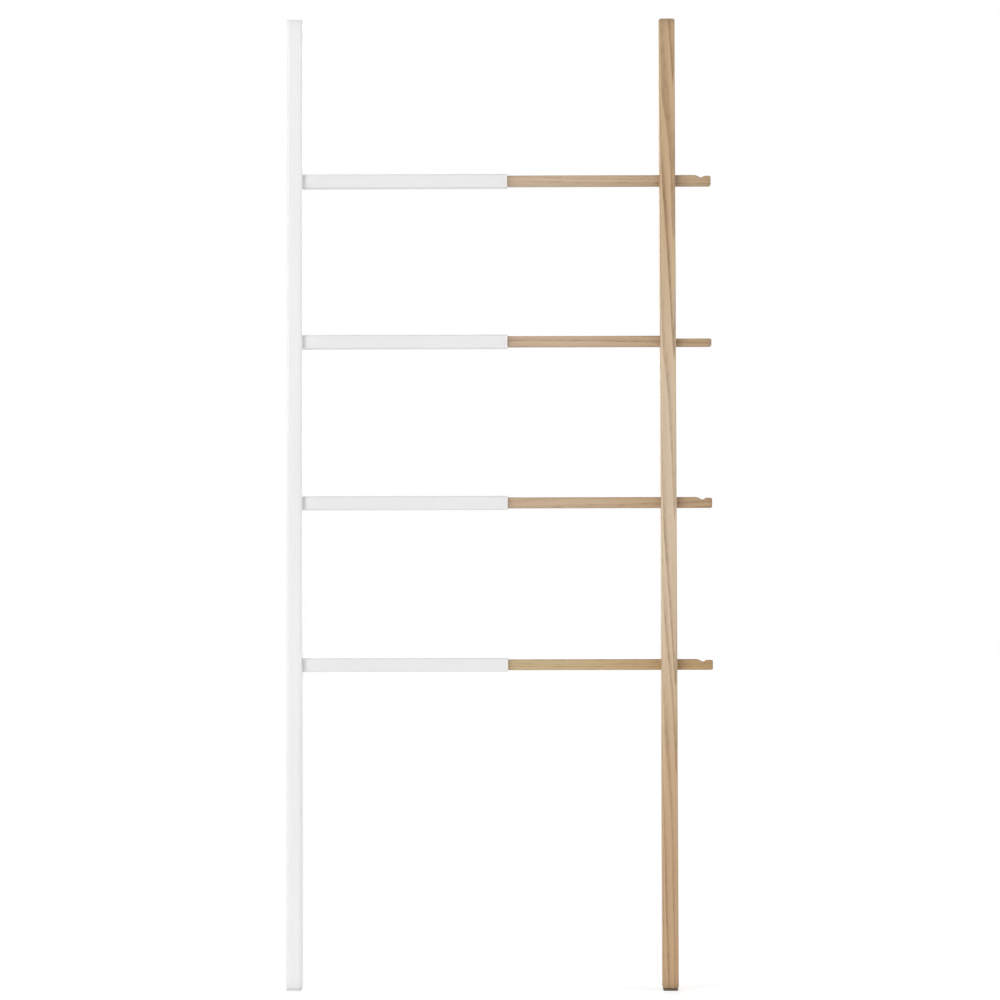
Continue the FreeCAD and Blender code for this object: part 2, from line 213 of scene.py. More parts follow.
def welded(patches):
    """One set of points and faces from several grids.

    Points that fall in the same tiny cube become one. A quad that has lost a corner is a triangle, as at a
    pole. If the volume inside, a sum of triple products, is negative, every face is turned round.
    """
    starts = np.cumsum([0] + [len(points) for points, _ in patches])
    points = np.concatenate([points for points, _ in patches])
    quads = np.concatenate([quads + start for (_, quads), start in zip(patches, starts)])
    cubes = np.round(points / WELD + WELD_OFFSET).astype(np.int64)
    _, first, merged = np.unique(cubes, axis=0, return_index=True, return_inverse=True)
    points = points[first]
    quads = merged.reshape(-1)[quads]
    real = quads != np.roll(quads, -1, axis=1)
    corner_counts = real.sum(axis=1)
    four = quads[corner_counts == 4]
    three = quads[corner_counts == 3][real[corner_counts == 3]].reshape(-1, 3)
    fan = np.concatenate([three, four[:, :3], four[:, [0, 2, 3]]])
    a, b, c = points[fan].transpose(1, 0, 2)
    if np.einsum("ij,ij->", a, np.cross(b, c)) < 0:
        four = four[:, ::-1]
        three = three[:, ::-1]
    used, numbers = np.unique(np.concatenate([four.ravel(), three.ravel()]), return_inverse=True)
    four = numbers[:four.size].reshape(-1, 4)
    three = numbers[four.size:].reshape(-1, 3)
    return points[used], four.tolist() + three.tolist()


def new_piece(name, patches, finish):
    """Object of the welded patches, smooth, at the origin, with one finish."""
    points, faces = welded(patches)
    mesh = bpy.data.meshes.new(name)
    mesh.from_pydata(points.tolist(), [], faces)
    mesh.shade_smooth()
    mesh.materials.append(finish)
    piece = bpy.data.objects.new(name, mesh)
    bpy.context.scene.collection.objects.link(piece)
    return piece


def mark_end_grain(piece, along):
    """Attribute that is 1 where the surface cuts across the wood's fibres and 0 where it runs with them."""
    count = len(piece.data.vertices)
    normals = np.empty(count * 3, np.float32)
    piece.data.vertex_normals.foreach_get("vector", normals)
    cut_across = np.abs(normals.reshape(count, 3)[:, along]) ** 2
    attribute = piece.data.attributes.new("end_grain", "FLOAT", "POINT")
    attribute.data.foreach_set("value", cut_across.astype(np.float32))


def path_along_x(template, stations, middle):
    """Grid of rounded rectangles carried along X.

    A station is X, half depth, lower and upper reach from the middle's height, and corner radius.
    """
    x, half_depth, lower, upper, radius = np.asarray(stations, float).T
    rings = rounded_rings(template, half_depth, (upper - lower) / 2, radius)
    points = np.empty(rings.shape[:2] + (3,))
    points[..., 0] = x[:, None]
    points[..., 1] = rings[..., 0] + middle[1]
    points[..., 2] = rings[..., 1] + (middle[2] + (upper + lower) / 2)[:, None]
    return points


def square_station(x, half, radius):
    """Station of a rounded square about the rung's middle."""
    return (x, half, -half, half, radius)


def with_poles(points):
    """Grid closed by a point at the middle of its first and of its last row."""
    ends = [np.broadcast_to(row.mean(axis=0), row.shape)[None] for row in (points[0], points[-1])]
    return np.concatenate([ends[0], points, ends[1]])


def looped(points):
    """Grid whose last row joins its first, as on a tube with walls."""
    return np.concatenate([points, points[:1]])


# Rails with openings

def rounded_square(square, half, radius):
    """Points of a unit square's edge, moved to a rounded square of this half size.

    Each point goes to the nearest point of the square that is smaller by the radius, and from there
    outwards by the radius. With a radius equal to the half size that is a circle.
    """
    points = square * half
    core = np.clip(points, radius - half, half - radius)
    out = points - core
    length = np.maximum(np.linalg.norm(out, axis=-1, keepdims=True), LEAST_LENGTH)
    return core + out / length * radius


def opening_grid(centre, inwards, patch_halves, patch_cells, stations):
    """Grid from a rectangular patch of a rail's face, into an opening, and on along it.

    The patch's half sizes and cells are given across and up. A station is depth, half size, corner radius,
    and a share that is 0 on the patch's own edge and 1 on the opening's outline. Columns run round the
    opening, and rows run into it.
    """
    square = rounded_template(*patch_cells, 0)[0]
    across = np.cross(inwards, UPWARDS)
    rows = []
    for depth, half, radius, share in stations:
        flat = square * patch_halves * (1 - share) + rounded_square(square, half, radius) * share
        rows.append(centre + inwards * depth + flat[:, :1] * across + flat[:, 1:] * UPWARDS)
    return np.array(rows)


def rim_stations(depth, half, radius, direction):
    """Stations from a face's square patch over an eased rim into an opening, at this depth.

    The rim is a quarter circle. With direction -1 the opening ends at this depth, and the order is turned
    round.
    """
    stations = [(depth, half + RIM_EASE, radius + RIM_EASE, share)
                for share in np.linspace(0, 1, OPENING_RINGS + 1)]
    for along, inside in zip(*eased(RIM_CELLS)):
        growth = RIM_EASE * (1 - along)
        stations.append((depth + direction * RIM_EASE * inside, half + growth, radius + growth, 1))
    return stations[::direction]


def rail_rows(low, high, patch_half):
    """Height of each row of a rail's block from end to end, and how far the block is drawn in there.

    Towards an end it shrinks along a small quarter circle, which eases the end's edges, and then on the
    flat of the end to the rectangle between the roundings' middles. Rows are evenly spaced in the patch at
    each rung, and between the patches.
    """
    limits = [low + RAIL_END_ROUND]
    for rung in reversed(RUNGS):
        limits += [rung_height(rung) - patch_half, rung_height(rung) + patch_half]
    limits.append(high - RAIL_END_ROUND)
    counts = [RAIL_PLAIN_ROWS] + [RAIL_OPENING_CELLS, RAIL_PLAIN_ROWS] * len(RUNGS)
    stretches = zip(limits, limits[1:], counts)
    straight = np.concatenate([np.linspace(*stretch, endpoint=False) for stretch in stretches])
    turn = np.linspace(QUARTER_TURN, 0, RAIL_BEND_CELLS, endpoint=False)
    end_rise = np.concatenate([[RAIL_END_ROUND], RAIL_END_ROUND * np.sin(turn)])
    end_inset = np.concatenate([[RAIL_ROUND], RAIL_END_ROUND * (1 - np.cos(turn))])
    heights = np.concatenate([limits[0] - end_rise, straight, limits[-1:], limits[-1] + end_rise[::-1]])
    inset = np.concatenate([end_inset, np.zeros(len(straight) + 1), end_inset[::-1]])
    return heights, inset


def rail_end_grids(low, high, across_cells):
    """The two flat ends of a rail: rectangles between the roundings' middles."""
    across = np.linspace(low[0] + RAIL_ROUND, high[0] - RAIL_ROUND, across_cells + 1)
    depth = np.linspace(low[1] + RAIL_ROUND, high[1] - RAIL_ROUND, RAIL_OPENING_CELLS + 1)
    lower, upper = [np.stack(np.meshgrid(across, depth, [height], indexing="ij"), axis=-1)[:, :, 0]
                    for height in (low[2], high[2])]
    return [cells(lower, closed=False), cells(upper[::-1], closed=False)]


def first_column(facing, across_cells):
    """Column of a rail's block where the flat side that faces this way starts."""
    sides = [(1, 0, RAIL_OPENING_CELLS), (0, 1, across_cells), (-1, 0, RAIL_OPENING_CELLS)]
    column = 0
    for x, y, side_cells in sides:
        if facing[0] == x and facing[1] == y:
            return column
        column += side_cells + RAIL_BEND_CELLS
    raise ValueError("no opening is made in that side")


def rail_grids(node, sides):
    """Grids of a rail: its rounded block without the open patches, its two flat ends, and its openings.

    The block is a rounded rectangle carried up the rail. Sides lists (direction, patch half sizes, patch
    cells, stations, direction of the far side or None) of the openings, which are the same at every rung.
    """
    low, high = box_of(node)
    half = (high - low) / 2
    middle = (high + low) / 2
    flat = half - RAIL_ROUND
    across_cells = round(RAIL_OPENING_CELLS * flat[0] / flat[1])
    heights, inset = rail_rows(low[2], high[2], flat[1])
    template = rounded_template(across_cells, RAIL_OPENING_CELLS, RAIL_BEND_CELLS)
    rings = rounded_rings(template, half[0] - inset, half[1] - inset, RAIL_ROUND - inset)
    levels = np.broadcast_to(heights[:, None, None], rings.shape[:2] + (1,))
    block = np.concatenate([rings + middle[:2], levels], axis=-1)
    kept = np.ones((len(heights) - 1, rings.shape[1]), bool)
    openings = []
    for direction, patch_halves, (columns, rows), stations, far_direction in sides:
        for place, rung in enumerate(reversed(RUNGS)):
            patch_row = RAIL_END_ROWS + RAIL_PLAIN_ROWS + place * (RAIL_OPENING_CELLS + RAIL_PLAIN_ROWS)
            patch_row += (RAIL_OPENING_CELLS - rows) // 2
            for facing in (direction, far_direction):
                if facing is not None:
                    column = first_column(facing, across_cells)
                    kept[patch_row:patch_row + rows, column:column + columns] = False
            centre = np.array([middle[0], middle[1], rung_height(rung)]) + direction * half * abs(direction)
            opening = opening_grid(centre, -direction, patch_halves, (columns, rows), stations)
            openings.append(cells(opening))
    return [cells(block, kept=kept)] + rail_end_grids(low, high, across_cells) + openings


def painted_rail_grids():
    """Painted rail: from the outer side a sunk hole, a bolt hole, and the seat of a sleeve."""
    low, high = box_of("left_rail")
    width = high[0] - low[0]
    patch_half = (high[1] - low[1]) / 2 - RAIL_ROUND
    seat_half = middle_of("rung_sleeve_1")[1] - box_of("rung_sleeve_1")[0][1] + SEAT_FIT
    seat_depth = width - SLEEVE_SEAT
    stations = rim_stations(0, BOLT_SINK_RADIUS, BOLT_SINK_RADIUS, 1)
    stations += [
        (BOLT_SINK, BOLT_SINK_RADIUS, BOLT_SINK_RADIUS, 1),
        (BOLT_SINK, BOLT_HOLE_RADIUS, BOLT_HOLE_RADIUS, 1),
        (seat_depth, BOLT_HOLE_RADIUS, BOLT_HOLE_RADIUS, 1),
        (seat_depth, seat_half, SLEEVE_ROUND, 1),
    ]
    stations += rim_stations(width, seat_half, SLEEVE_ROUND, -1)
    patch = ((patch_half, patch_half), (RAIL_OPENING_CELLS, RAIL_OPENING_CELLS))
    return rail_grids("left_rail", [(LEFTWARDS, *patch, stations, RIGHTWARDS)])


def ash_rail_grids():
    """Ash rail: a mortise from its inner to its outer side, and a countersunk hole behind it."""
    low, high = box_of("right_rail")
    width = high[0] - low[0]
    patch_half = (high[1] - low[1]) / 2 - RAIL_ROUND
    mortise_half = BAR_HALF + SEAT_FIT
    mortise = rim_stations(0, mortise_half, BAR_ROUND, 1)
    mortise += rim_stations(width, mortise_half, BAR_ROUND, -1)
    head = SCREW_HEAD_RADIUS + SEAT_FIT
    shank = SCREW_SHANK_RADIUS + SEAT_FIT
    screw_hole = rim_stations(0, head, head, 1)
    screw_hole += [
        (SCREW_HEAD_RIM + head - shank, shank, shank, 1),
        (SCREW_HOLE_DEPTH, shank, shank, 1),
        (SCREW_HOLE_DEPTH, 0, 0, 1),
    ]
    mortise_patch = ((patch_half, patch_half), (RAIL_OPENING_CELLS, RAIL_OPENING_CELLS))
    across_half = width / 2 - RAIL_ROUND
    across_cells = round(RAIL_OPENING_CELLS * across_half / patch_half)
    up_cells = 2 * (across_cells // 2)
    up_half = patch_half * up_cells / RAIL_OPENING_CELLS
    return rail_grids("right_rail", [
        (LEFTWARDS, *mortise_patch, mortise, RIGHTWARDS),
        (BACKWARDS, (across_half, up_half), (across_cells, up_cells), screw_hole, None),
    ])


# Rungs

def scoop_lip(radius, depth):
    """Run from the scoop's middle to a lip's middle, and the X reach of the scoop's arc on that side."""
    rise = SCOOP_RADIUS - depth + radius
    run = math.sqrt((SCOOP_RADIUS + radius) ** 2 - rise ** 2)
    return run, run * SCOOP_RADIUS / (SCOOP_RADIUS + radius)


def hump(x, middle, radius):
    """Height of a circle's upper half above its middle, at each X."""
    return np.sqrt(np.clip(radius ** 2 - (x - middle) ** 2, 0, None))


def bar_top(x, tip, scooped):
    """Upper outline of a bar at each X, from its middle.

    It is level up to the scoop's gentle lip, follows that lip's arc down to the scoop's arc and the steep
    lip's arc up again, is level on the slightly lower tip, and ends in the tip's corner arc. A plain peg is
    level and lower from the rail on.
    """
    middle = tip - SCOOP_FROM_TIP
    tip_top = BAR_HALF - SCOOP_TIP_DROP if scooped else BAR_HALF - PLAIN_PEG_DROP
    corner = tip - PEG_TIP_ROUND
    tip_curve = tip_top - PEG_TIP_ROUND + hump(x, corner, PEG_TIP_ROUND)
    if not scooped:
        rail_side = box_of("right_rail")[1][0]
        return np.select([x <= rail_side, x < corner], [BAR_HALF, tip_top], tip_curve)
    tip_run, tip_reach = scoop_lip(SCOOP_TIP_LIP_ROUND, SCOOP_DEPTH - SCOOP_TIP_DROP)
    rail_run, rail_reach = scoop_lip(SCOOP_RAIL_LIP_ROUND, SCOOP_DEPTH)
    rail_lip = BAR_HALF - SCOOP_RAIL_LIP_ROUND + hump(x, middle - rail_run, SCOOP_RAIL_LIP_ROUND)
    hollow = BAR_HALF - SCOOP_DEPTH + SCOOP_RADIUS - hump(x, middle, SCOOP_RADIUS)
    tip_lip = tip_top - SCOOP_TIP_LIP_ROUND + hump(x, middle + tip_run, SCOOP_TIP_LIP_ROUND)
    limits = [middle - rail_run, middle - rail_reach, middle + tip_reach, middle + tip_run, corner]
    heights = [BAR_HALF, rail_lip, hollow, tip_lip, tip_top]
    return np.select([x < limit for limit in limits], heights, tip_curve)


def bar_grids(rung):
    """Ash bar: a rounded square carried along X, with a narrower tenon, and a peg that ends rounded.

    Towards the tip the bar narrows along a quarter circle of its own edge rounding.
    """
    middle = middle_of(f"rung_bar_{rung}")
    middle[2] = rung_height(rung)
    low, high = box_of(f"rung_bar_{rung}")
    tip = high[0]
    shoulder = box_of(f"bar_glide_{rung}")[1][0]
    rail_side = box_of("right_rail")[1][0]
    scoop_start = tip - 2 * SCOOP_FROM_TIP
    corner = tip - PEG_TIP_ROUND
    x = np.concatenate([
        np.linspace(shoulder, rail_side, BAR_ROWS),
        np.linspace(rail_side + PLAIN_PEG_STEP, scoop_start, PEG_ROWS),
        np.linspace(scoop_start, corner, SCOOP_ROWS)[1:],
        corner + PEG_TIP_ROUND * eased(PEG_TIP_CELLS)[0][1:],
    ])
    upper = bar_top(x, tip, rung != PLAIN_PEG_RUNG)
    lower = PEG_TIP_ROUND - BAR_HALF - hump(np.maximum(x, corner), corner, PEG_TIP_ROUND)
    narrowing = BAR_ROUND - hump(np.maximum(x, tip - BAR_ROUND), tip - BAR_ROUND, BAR_ROUND)
    stations = np.stack([x, BAR_HALF - narrowing, lower, upper, BAR_ROUND - narrowing], axis=1)
    tenon = [square_station(place, TENON_HALF, TENON_ROUND) for place in (low[0], shoulder)]
    grid = path_along_x(rounded_template(*BAR_CELLS), np.concatenate([tenon, stations]), middle)
    return [cells(with_poles(grid))]


def sleeve_grids(rung):
    """Square tube: its outer wall, an eased end, its bore, and an eased end again, as one closed loop."""
    node = f"rung_sleeve_{rung}"
    low, high = box_of(node)
    half = (high[2] - low[2]) / 2
    bore = half - SLEEVE_WALL
    bore_round = SLEEVE_ROUND - SLEEVE_WALL
    ease = SLEEVE_EDGE_EASE
    stations = [square_station(low[0], half - ease, SLEEVE_ROUND - ease)]
    wall = np.linspace(low[0] + ease, high[0] - ease, TUBE_ROWS)
    stations += [square_station(x, half, SLEEVE_ROUND) for x in wall]
    for along, inside in zip(*eased(SLEEVE_EDGE_CELLS)):
        inset = ease * inside
        stations.append(square_station(high[0] - ease + ease * along, half - inset, SLEEVE_ROUND - inset))
    stations += [square_station(x, bore, bore_round) for x in np.linspace(high[0], low[0], TUBE_ROWS)]
    grid = path_along_x(rounded_template(*TUBE_CELLS), stations, middle_of(node))
    return [cells(looped(grid))]


def collar_grids(rung):
    """Collar: a spigot inside the sleeve, a lip with a rounded edge, and a bore with a rounded lead-in."""
    node = f"sleeve_collar_{rung}"
    low, high = box_of(node)
    lip_half = (high[2] - low[2]) / 2
    sleeve_end = box_of(f"rung_sleeve_{rung}")[1][0]
    spigot_half = lip_half - SLEEVE_WALL - SEAT_FIT
    spigot_round = SLEEVE_ROUND - SLEEVE_WALL
    ease = SLEEVE_EDGE_EASE
    stations = [square_station(x, spigot_half, spigot_round) for x in (low[0], sleeve_end)]
    stations.append(square_station(sleeve_end, lip_half - ease, SLEEVE_ROUND - ease))
    stations.append(square_station(sleeve_end + ease, lip_half, SLEEVE_ROUND))
    for along, inside in zip(*eased(COLLAR_LIP_CELLS)):
        x = high[0] - COLLAR_LIP_ROUND * (1 - along)
        inset = COLLAR_LIP_ROUND * inside
        stations.append(square_station(x, lip_half - inset, SLEEVE_ROUND - inset))
    for along, inside in zip(*eased(COLLAR_LEAD_IN_CELLS)):
        x = high[0] - COLLAR_LEAD_IN * inside
        growth = COLLAR_LEAD_IN * (1 - along)
        stations.append(square_station(x, COLLAR_BORE_HALF + growth, BAR_ROUND + growth))
    stations.append(square_station(low[0], COLLAR_BORE_HALF, BAR_ROUND))
    grid = path_along_x(rounded_template(*TUBE_CELLS), stations, middle_of(node))
    return [cells(looped(grid))]


# Fasteners and pads

def turned_grid(point, direction, rows):
    """Turned form with a hexagonal socket, from a point along a direction.

    A row is a distance along, a radius, and a share. At share 0 the row is a circle of that radius, and at
    share 1 a hexagon of that half width: the radius over the cosine of the angle from the nearest flat.
    """
    along, radius, share = np.asarray(rows, float).T[:, :, None]
    angles = np.linspace(0, 2 * math.pi, FASTENER_SIDES, endpoint=False)
    flat_angle = angles % KEY_SIDE_ANGLE - KEY_SIDE_ANGLE / 2
    reach = radius * (1 - share + share / np.cos(flat_angle))
    side = np.roll(direction, 1)
    other = np.cross(direction, side)
    round_about = np.cos(angles)[:, None] * side + np.sin(angles)[:, None] * other
    return point + along[..., None] * direction + reach[..., None] * round_about


def socket_rows(half, depth):
    """Rows of a key socket, from its bevelled mouth on the head's face down to its drilled middle."""
    return [(0, half + KEY_BEVEL, 1), (KEY_BEVEL, half, 1), (depth, half, 1), (depth + half / 3, 0, 0)]


def bolt_grids():
    """Button-head bolts, sunk in the painted rail. A head is a quarter ellipse from its rim to its face."""
    low, high = box_of("sleeve_bolts")
    y = middle_of("sleeve_bolts")[1]
    length = high[0] - low[0]
    dome_run = BOLT_HEAD_RADIUS - BOLT_KEY_HALF - BOLT_KEY_MARGIN
    dome_rise = BOLT_HEAD_HEIGHT - BOLT_RIM_HEIGHT
    rows = [
        (length, 0, 0),
        (length, BOLT_RADIUS - BOLT_TIP_BEVEL, 0),
        (length - BOLT_TIP_BEVEL, BOLT_RADIUS, 0),
        (BOLT_HEAD_HEIGHT, BOLT_RADIUS, 0),
        (BOLT_HEAD_HEIGHT, BOLT_HEAD_RADIUS, 0),
    ]
    for along, inside in zip(*eased(BOLT_DOME_CELLS)):
        rows.append((dome_rise * (1 - along), BOLT_HEAD_RADIUS - dome_run * inside, 0))
    rows += socket_rows(BOLT_KEY_HALF, BOLT_KEY_DEPTH)
    faces = [np.array([low[0], y, rung_height(rung)]) for rung in RUNGS]
    return [cells(turned_grid(face, RIGHTWARDS, rows)) for face in faces]


def screw_grids():
    """Countersunk screws behind the ash rail."""
    low, high = box_of("bar_screws")
    x = middle_of("bar_screws")[0]
    length = high[1] - low[1]
    rows = [
        (length, 0, 0),
        (length - SCREW_SHANK_RADIUS, SCREW_SHANK_RADIUS, 0),
        (SCREW_HEAD_RIM + SCREW_HEAD_RADIUS - SCREW_SHANK_RADIUS, SCREW_SHANK_RADIUS, 0),
        (SCREW_HEAD_RIM, SCREW_HEAD_RADIUS, 0),
        (SCREW_HEAD_EASE, SCREW_HEAD_RADIUS, 0),
        (0, SCREW_HEAD_RADIUS - SCREW_HEAD_EASE, 0),
    ]
    rows += socket_rows(SCREW_KEY_HALF, SCREW_KEY_DEPTH)
    faces = [np.array([x, high[1], rung_height(rung)]) for rung in RUNGS]
    return [cells(turned_grid(face, -BACKWARDS, rows)) for face in faces]


def pad_grids(node, outwards, corner_round, edge):
    """Rubber pad: a rounded rectangle carried from its seat outwards, with a rounded outer edge.

    Its first side lies along X, and its other side along whichever axis it doesn't face.
    """
    low, high = box_of(node)
    middle = (low + high) / 2
    half = (high - low) / 2
    normal = int(np.argmax(np.abs(outwards)))
    other = 3 - normal
    thickness = 2 * half[normal]
    along, inside = eased(PAD_EDGE_CELLS)
    travel = np.concatenate([[0], thickness - edge + edge * along])
    inset = np.concatenate([[0], edge * inside])
    rings = rounded_rings(rounded_template(*PAD_CELLS), half[0] - inset, half[other] - inset,
                          corner_round - inset)
    points = np.empty(rings.shape[:2] + (3,))
    points[..., 0] = middle[0] + rings[..., 0]
    points[..., other] = middle[other] + rings[..., 1]
    points[..., normal] = (middle + outwards * (travel[:, None] - thickness / 2))[:, normal, None]
    return [cells(with_poles(points))]


# Shader maths

# Sockets of a Mix node that mixes colours, and the coloured output of a noise
MIX_SHARE = 0
MIX_FIRST = 6
MIX_SECOND = 7
MIX_RESULT = 2
NOISE_COLOUR = 1
NOISE_MEAN = 0.5


class Shade:
    """A value in a node tree. Arithmetic on it adds Math nodes."""

    def __init__(self, finish, socket):
        self.finish = finish
        self.socket = socket

    def math(self, operation, *values):
        return self.finish.node("ShaderNodeMath", {"operation": operation}, dict(enumerate(values)))

    def __add__(self, other):
        return self.math("ADD", self, other)

    def __sub__(self, other):
        return self.math("SUBTRACT", self, other)

    def __rsub__(self, other):
        return self.math("SUBTRACT", other, self)

    def __mul__(self, other):
        return self.math("MULTIPLY", self, other)

    def __truediv__(self, other):
        return self.math("DIVIDE", self, other)

    def __rtruediv__(self, other):
        return self.math("DIVIDE", other, self)

    def __pow__(self, other):
        return self.math("POWER", self, other)

    __radd__ = __add__
    __rmul__ = __mul__


class Finish:
    """The nodes of a material or of the world."""

    def __init__(self, owner):
        self.owner = owner
        owner.use_nodes = True
        self.tree = owner.node_tree
        self.tree.nodes.clear()

    def node(self, kind, settings=None, sockets=None, output=0):
        """Adds a node: its settings, a ramp's stops among them, then its sockets' values or links."""
        made = self.tree.nodes.new(kind)
        for key, value in (settings or {}).items():
            if key == "stops":
                self.set_stops(made.color_ramp, value)
            else:
                setattr(made, key, value)
        for key, value in (sockets or {}).items():
            if isinstance(value, Shade):
                self.tree.links.new(value.socket, made.inputs[key])
            else:
                made.inputs[key].default_value = value
        return Shade(self, made.outputs[output]) if made.outputs else None

    @staticmethod
    def set_stops(ramp, stops):
        """A ramp from position and grey value pairs."""
        ramp.interpolation = "EASE"
        for _ in range(len(stops) - len(ramp.elements)):
            ramp.elements.new(1.0)
        for element, (position, grey) in zip(ramp.elements, stops):
            element.position = position
            element.color = (grey, grey, grey, 1.0)

    def mapped(self, **sockets):
        """The piece's own coordinates, moved or turned by a Mapping node."""
        place = self.node("ShaderNodeTexCoord", output="Object")
        return self.node("ShaderNodeMapping", None, {"Vector": place, **sockets})

    def parts(self, vector):
        """The three parts of a vector."""
        return [self.node("ShaderNodeSeparateXYZ", None, {0: vector}, part) for part in range(3)]

    def noise(self, vector, density, detail=2.0, roughness=0.5, output=0):
        """Smooth noise about 0.5: its density is cells in a metre, one number or one for each part."""
        if isinstance(density, tuple):
            vector = self.node("ShaderNodeMapping", None, {"Vector": vector, "Scale": density})
            density = 1.0
        sockets = {"Vector": vector, "Scale": density, "Detail": detail, "Roughness": roughness}
        return self.node("ShaderNodeTexNoise", None, sockets, output)

    def swing(self, noise, amount):
        """What a noise adds to both sides of its mean."""
        return (noise - NOISE_MEAN) * amount

    def clouds(self, place, density, start, gain):
        """Clouds of a noise: nothing up to a start, and then more by a gain."""
        return (self.noise(place, density) - start) * gain

    def ramp(self, value, stops):
        """A value led through a ramp of greys."""
        return self.node("ShaderNodeValToRGB", {"stops": stops}, {0: value})

    def mix(self, share, first, second, blend="MIX"):
        """A colour between two, or another blend of them."""
        settings = {"data_type": "RGBA", "blend_type": blend}
        sockets = {MIX_SHARE: share, MIX_FIRST: first, MIX_SECOND: second}
        return self.node("ShaderNodeMix", settings, sockets, MIX_RESULT)

    def tinted(self, first, second):
        """A colour times another."""
        return self.mix(1.0, first, second, "MULTIPLY")

    def shaded(self, colour, value):
        """A colour times a value."""
        grey = self.node("ShaderNodeCombineColor", None, {0: value, 1: value, 2: value})
        return self.tinted(colour, grey)

    def darkened(self, light, along, darkenings):
        """Light that falls off round places along a piece: painted shade at some, a plainly darker tone at
        others.

        Each place's factor is 1 - amount / (distance in reaches ^ 2 + 1).
        """
        for place, reach, amount in darkenings:
            light = light * (1 - amount / (((along - place) / reach) ** 2 + 1))
        return light

    def bump(self, height, distance, strength):
        """Normals that follow a height."""
        sockets = {"Height": height, "Distance": distance, "Strength": strength}
        return self.node("ShaderNodeBump", None, sockets)

    def done(self, **sockets):
        """The finished material: a Principled shader with these sockets, spaces written as underscores."""
        named = {key.replace("_", " "): value for key, value in sockets.items()}
        shader = self.node("ShaderNodeBsdfPrincipled", None, named)
        self.node("ShaderNodeOutputMaterial", None, {"Surface": shader})
        return self.owner


def new_finish(name):
    """A finish for a new material."""
    return Finish(bpy.data.materials.new(name))


def colour(red, green, blue):
    """Linear colour of one given in 0 to 255, by the sRGB curve."""
    shares = np.array([red, green, blue]) / 255
    linear = np.where(shares <= 0.04045, shares / 12.92, ((shares + 0.055) / 1.055) ** 2.4)
    return (*linear.tolist(), 1.0)


WHITE = colour(255, 255, 255)


# Ash. Densities are cells of a noise in a metre: across the board, in its depth and along it
ASH_LATE = colour(190, 161, 125)
ASH_EARLY = colour(146, 113, 79)
ASH_PALE = colour(219, 204, 181)
ASH_WARM = colour(178, 138, 101)
ASH_WARM_START = 0.42
ASH_WARM_GAIN = 1.6
ASH_RING = 3.4 * MM
ASH_RING_WAVER = 0.5
ASH_WAVER_DENSITY = (40, 40, 7)
ASH_SEASONS = 0.45
ASH_SEASON_SWING = 1.9
ASH_LOG_YEARS = 10
ASH_LEAST_RING = 0.45
ASH_RING_SPREAD = 0.5
ASH_MEAN_RING = 0.27
ASH_YEAR = ((0.0, 0.12), (0.07, 1.0), (0.26, 0.8), (0.52, 0.25), (0.85, 0.0), (1.0, 0.12))
ASH_PITH_WANDER = (16 * MM, 10 * MM)
ASH_WANDER_DENSITY = (5, 5, 1.4)
ASH_STREAK_DENSITY = (160, 160, 2.2)
ASH_STREAK_SWING = 0.5
ASH_FIBRE_DENSITY = (700, 700, 10)
ASH_FIBRE_SWING = 0.35
ASH_PORE_DENSITY = (1700, 1700, 60)
ASH_PORES = ((0.56, 0.0), (0.66, 1.0))
ASH_PORE_SHADE = 0.4
ASH_END_SHADE = 0.38
ASH_GRAIN_KEPT = 0.4
ASH_ROUGHNESS = 0.42
ASH_RELIEF = 0.12 * MM


def ash_rings(finish, board, in_log, pith, lean, log_place):
    """Rings of a log: how far a place is in the dark of its year, how bold that year is, and a slow tone.

    The rings are cylinders about a leaning, wandering pith. The distance from it, in rings that good and
    poor seasons widen and narrow, gives the place in a year's growth. The year starts with a dark band of
    open pores and fades into pale dense wood.
    """
    across, depth, along = finish.parts(board)
    slow = finish.noise(in_log, ASH_WANDER_DENSITY, 1.0, output=NOISE_COLOUR)
    wander_across, wander_depth, tone = finish.parts(slow)
    waver = finish.noise(in_log, ASH_WAVER_DENSITY)
    from_pith_across = across - pith[0] - along * lean[0] + finish.swing(wander_across, ASH_PITH_WANDER[0])
    from_pith_depth = depth - pith[1] - along * lean[1] + finish.swing(wander_depth, ASH_PITH_WANDER[1])
    even_years = (from_pith_across ** 2 + from_pith_depth ** 2) ** 0.5 / ASH_RING
    season = {"W": even_years * ASH_SEASONS + log_place, "Scale": 1.0, "Detail": 1.0}
    seasons = finish.node("ShaderNodeTexNoise", {"noise_dimensions": "1D"}, season)
    years = even_years + finish.swing(seasons, ASH_SEASON_SWING) + finish.swing(waver, ASH_RING_WAVER)
    year = years.math("FLOOR", years)
    drawn = {"W": year + log_place * ASH_LOG_YEARS}
    strength = finish.node("ShaderNodeTexWhiteNoise", {"noise_dimensions": "1D"}, drawn)
    return finish.ramp(years - year, ASH_YEAR), strength * ASH_RING_SPREAD + ASH_LEAST_RING, tone


